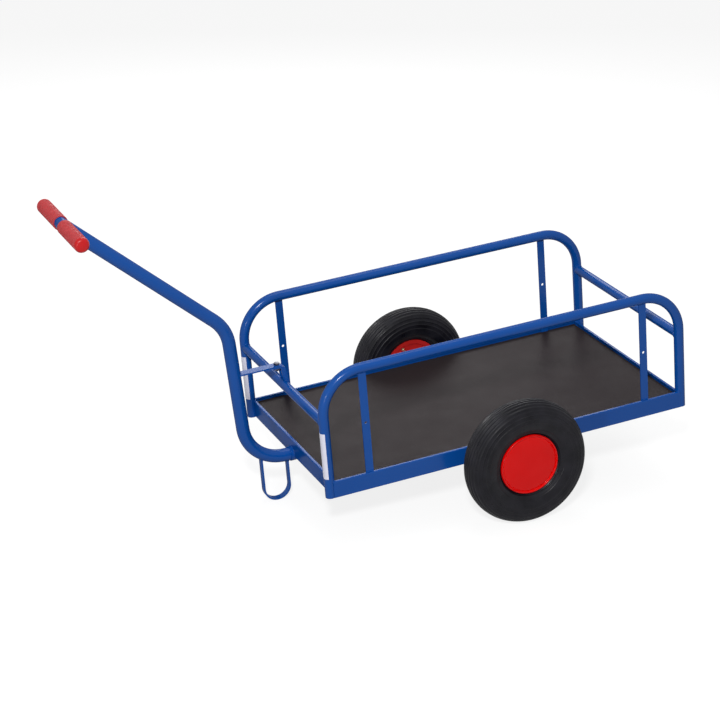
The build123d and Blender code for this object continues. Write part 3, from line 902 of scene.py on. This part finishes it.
def floor_material():
    """Matt floor that glows a little for the camera and is clear from below."""
    material = bpy.data.materials.new("pale_floor")
    material.use_nodes = True
    nodes, links = material.node_tree.nodes, material.node_tree.links
    nodes.clear()
    matt = nodes.new("ShaderNodeBsdfDiffuse")
    matt.inputs["Color"].default_value = (FLOOR_COLOUR, FLOOR_COLOUR, FLOOR_COLOUR, 1)
    strength = nodes.new("ShaderNodeMath")
    strength.operation = "MULTIPLY"
    strength.inputs[1].default_value = FLOOR_GLOW
    links.new(seen_directly(nodes, links), strength.inputs[0])
    glow = nodes.new("ShaderNodeEmission")
    links.new(strength.outputs["Value"], glow.inputs["Strength"])
    upper = nodes.new("ShaderNodeAddShader")
    links.new(matt.outputs["BSDF"], upper.inputs[0])
    links.new(glow.outputs["Emission"], upper.inputs[1])
    clear = nodes.new("ShaderNodeBsdfTransparent")
    geometry = nodes.new("ShaderNodeNewGeometry")
    one_sided = nodes.new("ShaderNodeMixShader")
    links.new(geometry.outputs["Backfacing"], one_sided.inputs["Fac"])
    links.new(upper.outputs["Shader"], one_sided.inputs[1])
    links.new(clear.outputs["BSDF"], one_sided.inputs[2])
    output = nodes.new("ShaderNodeOutputMaterial")
    links.new(one_sided.outputs["Shader"], output.inputs["Surface"])
    return material


def build_floor():
    """A wide plain floor at height 0."""
    half = FLOOR_SIZE / 2
    mesh = bpy.data.meshes.new("floor")
    corners = [(-half, -half, 0), (half, -half, 0), (half, half, 0), (-half, half, 0)]
    mesh.from_pydata(corners, [], [(0, 1, 2, 3)])
    mesh.materials.append(floor_material())
    floor = bpy.data.objects.new("floor", mesh)
    bpy.context.scene.collection.objects.link(floor)


def build_surround():
    """White background whose light on the object is softer than it looks."""
    world = bpy.data.worlds.new("white_surround")
    bpy.context.scene.world = world
    world.use_nodes = True
    nodes, links = world.node_tree.nodes, world.node_tree.links
    strength = nodes.new("ShaderNodeMapRange")
    strength.inputs["To Min"].default_value = SURROUND_LIGHT
    strength.inputs["To Max"].default_value = 1.0
    links.new(seen_directly(nodes, links), strength.inputs["Value"])
    background = nodes["Background"]
    background.inputs["Color"].default_value = (1, 1, 1, 1)
    links.new(strength.outputs["Result"], background.inputs["Strength"])


def build_lights():
    """Softboxes that all aim at the load bed."""
    for name, place, width, height, power in SOFTBOXES:
        light = bpy.data.lights.new(name, "AREA")
        light.shape = "RECTANGLE"
        light.size = width
        light.size_y = height
        light.energy = power
        lamp = bpy.data.objects.new(name, light)
        lamp.location = place
        lamp.rotation_euler = (LIGHT_AIM - Vector(place)).to_track_quat("-Z", "Y").to_euler()
        lamp.visible_camera = False
        bpy.context.scene.collection.objects.link(lamp)


def build_camera():
    """A camera at the photograph's viewing angle."""
    data = bpy.data.cameras.new("camera")
    data.lens = CAMERA_LENS
    data.sensor_width = SENSOR_WIDTH
    camera = bpy.data.objects.new("camera", data)
    camera.location = CAMERA_PLACE
    camera.rotation_euler = (CAMERA_AIM - CAMERA_PLACE).to_track_quat("-Z", "Y").to_euler()
    bpy.context.scene.collection.objects.link(camera)
    bpy.context.scene.camera = camera


build_floor()
build_surround()
build_lights()
build_camera()
bpy.context.scene.view_settings.view_transform = "Standard"
